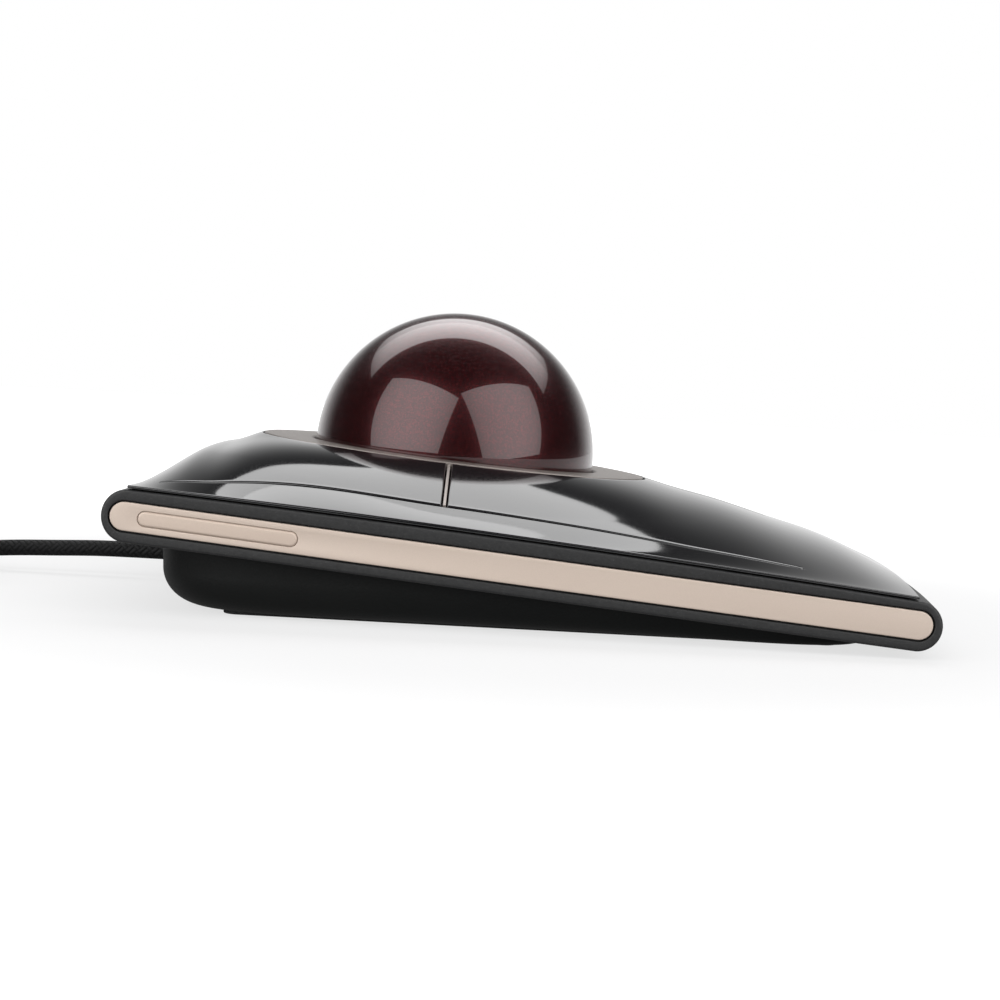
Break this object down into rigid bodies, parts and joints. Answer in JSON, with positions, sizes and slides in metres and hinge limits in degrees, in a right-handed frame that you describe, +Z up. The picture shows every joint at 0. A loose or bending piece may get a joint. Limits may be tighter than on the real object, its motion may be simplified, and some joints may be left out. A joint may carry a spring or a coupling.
{
  "type": "trackball mouse",
  "caption": "Desk trackball mouse: a large ball in a ring sits in a low, arched case with click buttons around it, on a set-back base, with a coiled cord and plug.",
  "frame": {"origin": "centre of the footprint without the cord, at the underside of the two feet", "axes": "+Z up, +Y from the user's side towards the rear where the cord leaves, +X to the user's right"},
  "size_m": [0.131, 0.2487, 0.0556],
  "materials": {
    "ball_resin": "polished dark red resin",
    "steel": "satin",
    "gloss_black": "polished",
    "champagne": "satin metallic paint",
    "beige": "satin",
    "textured_charcoal": "fine spark-eroded texture",
    "matte_black": "matte",
    "rubber": "matte",
    "braid": "woven sleeve",
    "lens": "clear red filter",
    "board_green": "solder mask",
    "white_plastic": "satin"
  },
  "bodies": {
    "case": {"ball_cup": "matte_black", "base_pedestal": "matte_black", "base_screw_1": "steel", "base_screw_2": "steel", "base_screw_3": "steel", "base_screw_4": "steel", "bearing_ball_1": "steel", "bearing_ball_2": "steel", "bearing_ball_3": "steel", "bottom_housing": "textured_charcoal", "buzzer": "matte_black", "cable_board": "board_green", "cable_board_screw_1": "steel", "cable_connector": "white_plastic", "coil_tie": "rubber", "controller_chip": "matte_black", "cord": "braid", "cord_coil": "braid", "cord_tail": "braid", "foot_left": "rubber", "foot_right": "rubber", "main_board": "board_green", "main_board_screw_1": "steel", "main_board_screw_2": "steel", "nameplate_left": "beige", "nameplate_right": "beige", "plug_body": "rubber", "plug_shell": "steel", "plug_tongue": "white_plastic", "ring_bezel": "champagne", "sensor_module_left": "matte_black", "sensor_module_right": "matte_black", "sensor_window_left": "lens", "sensor_window_right": "lens", "separator_front": "champagne", "separator_left": "champagne", "separator_rear": "champagne", "separator_right": "champagne", "side_insert_left": "beige", "side_insert_right": "beige", "strain_relief": "rubber", "switch_board_left": "board_green", "switch_board_left_screw_1": "steel", "switch_board_right": "board_green", "switch_board_right_screw_1": "steel", "switch_front_left": "matte_black", "switch_front_right": "matte_black", "switch_rear_left": "matte_black", "switch_rear_right": "matte_black", "top_cover": "gloss_black"},
    "ball": {"ball": "ball_resin"},
    "button_front_left": {"button_front_left": "gloss_black"},
    "button_front_right": {"button_front_right": "gloss_black"},
    "button_rear_left": {"button_rear_left": "gloss_black"},
    "button_rear_right": {"button_rear_right": "gloss_black"},
    "plunger_front_left": {"plunger_front_left": "white_plastic"},
    "plunger_front_right": {"plunger_front_right": "white_plastic"},
    "plunger_rear_left": {"plunger_rear_left": "white_plastic"},
    "plunger_rear_right": {"plunger_rear_right": "white_plastic"}
  },
  "joints": [
    {"name": "ball_roll", "type": "hinge", "parent": "case", "child": "ball", "pos_m": [0, 0.0139, 0.02812], "axis": [1, 0, 0], "continuous": true},
    {"name": "button_front_left_press", "type": "hinge", "parent": "case", "child": "button_front_left", "pos_m": [0, -0.0483, 0.01652], "axis": [-1, 0, 0], "range_deg": [0, 0.9], "stiffness_Nm_per_rad": 2.3, "springref_deg": -0.29},
    {"name": "plunger_front_left_travel", "type": "slide", "parent": "case", "child": "plunger_front_left", "axis": [0, 0, -1], "range_m": [0, 0.0007]},
    {"name": "button_front_right_press", "type": "hinge", "parent": "case", "child": "button_front_right", "pos_m": [0, -0.0483, 0.01652], "axis": [-1, 0, 0], "range_deg": [0, 0.9], "stiffness_Nm_per_rad": 2.3, "springref_deg": -0.29},
    {"name": "plunger_front_right_travel", "type": "slide", "parent": "case", "child": "plunger_front_right", "axis": [0, 0, -1], "range_m": [0, 0.0007]},
    {"name": "button_rear_left_press", "type": "hinge", "parent": "case", "child": "button_rear_left", "pos_m": [0, 0.0628, 0.02458], "axis": [1, 0, 0], "range_deg": [0, 0.9], "stiffness_Nm_per_rad": 2.3, "springref_deg": -0.29},
    {"name": "plunger_rear_left_travel", "type": "slide", "parent": "case", "child": "plunger_rear_left", "axis": [0, 0, -1], "range_m": [0, 0.0007]},
    {"name": "button_rear_right_press", "type": "hinge", "parent": "case", "child": "button_rear_right", "pos_m": [0, 0.0628, 0.02458], "axis": [1, 0, 0], "range_deg": [0, 0.9], "stiffness_Nm_per_rad": 2.3, "springref_deg": -0.29},
    {"name": "plunger_rear_right_travel", "type": "slide", "parent": "case", "child": "plunger_rear_right", "axis": [0, 0, -1], "range_m": [0, 0.0007]}
  ],
  "couplings": [
    {"joint": "plunger_front_left_travel", "follows": "button_front_left_press", "m_per_rad": 0.0213},
    {"joint": "plunger_front_right_travel", "follows": "button_front_right_press", "m_per_rad": 0.0213},
    {"joint": "plunger_rear_left_travel", "follows": "button_rear_left_press", "m_per_rad": 0.0398},
    {"joint": "plunger_rear_right_travel", "follows": "button_rear_right_press", "m_per_rad": 0.0398}
  ]
}
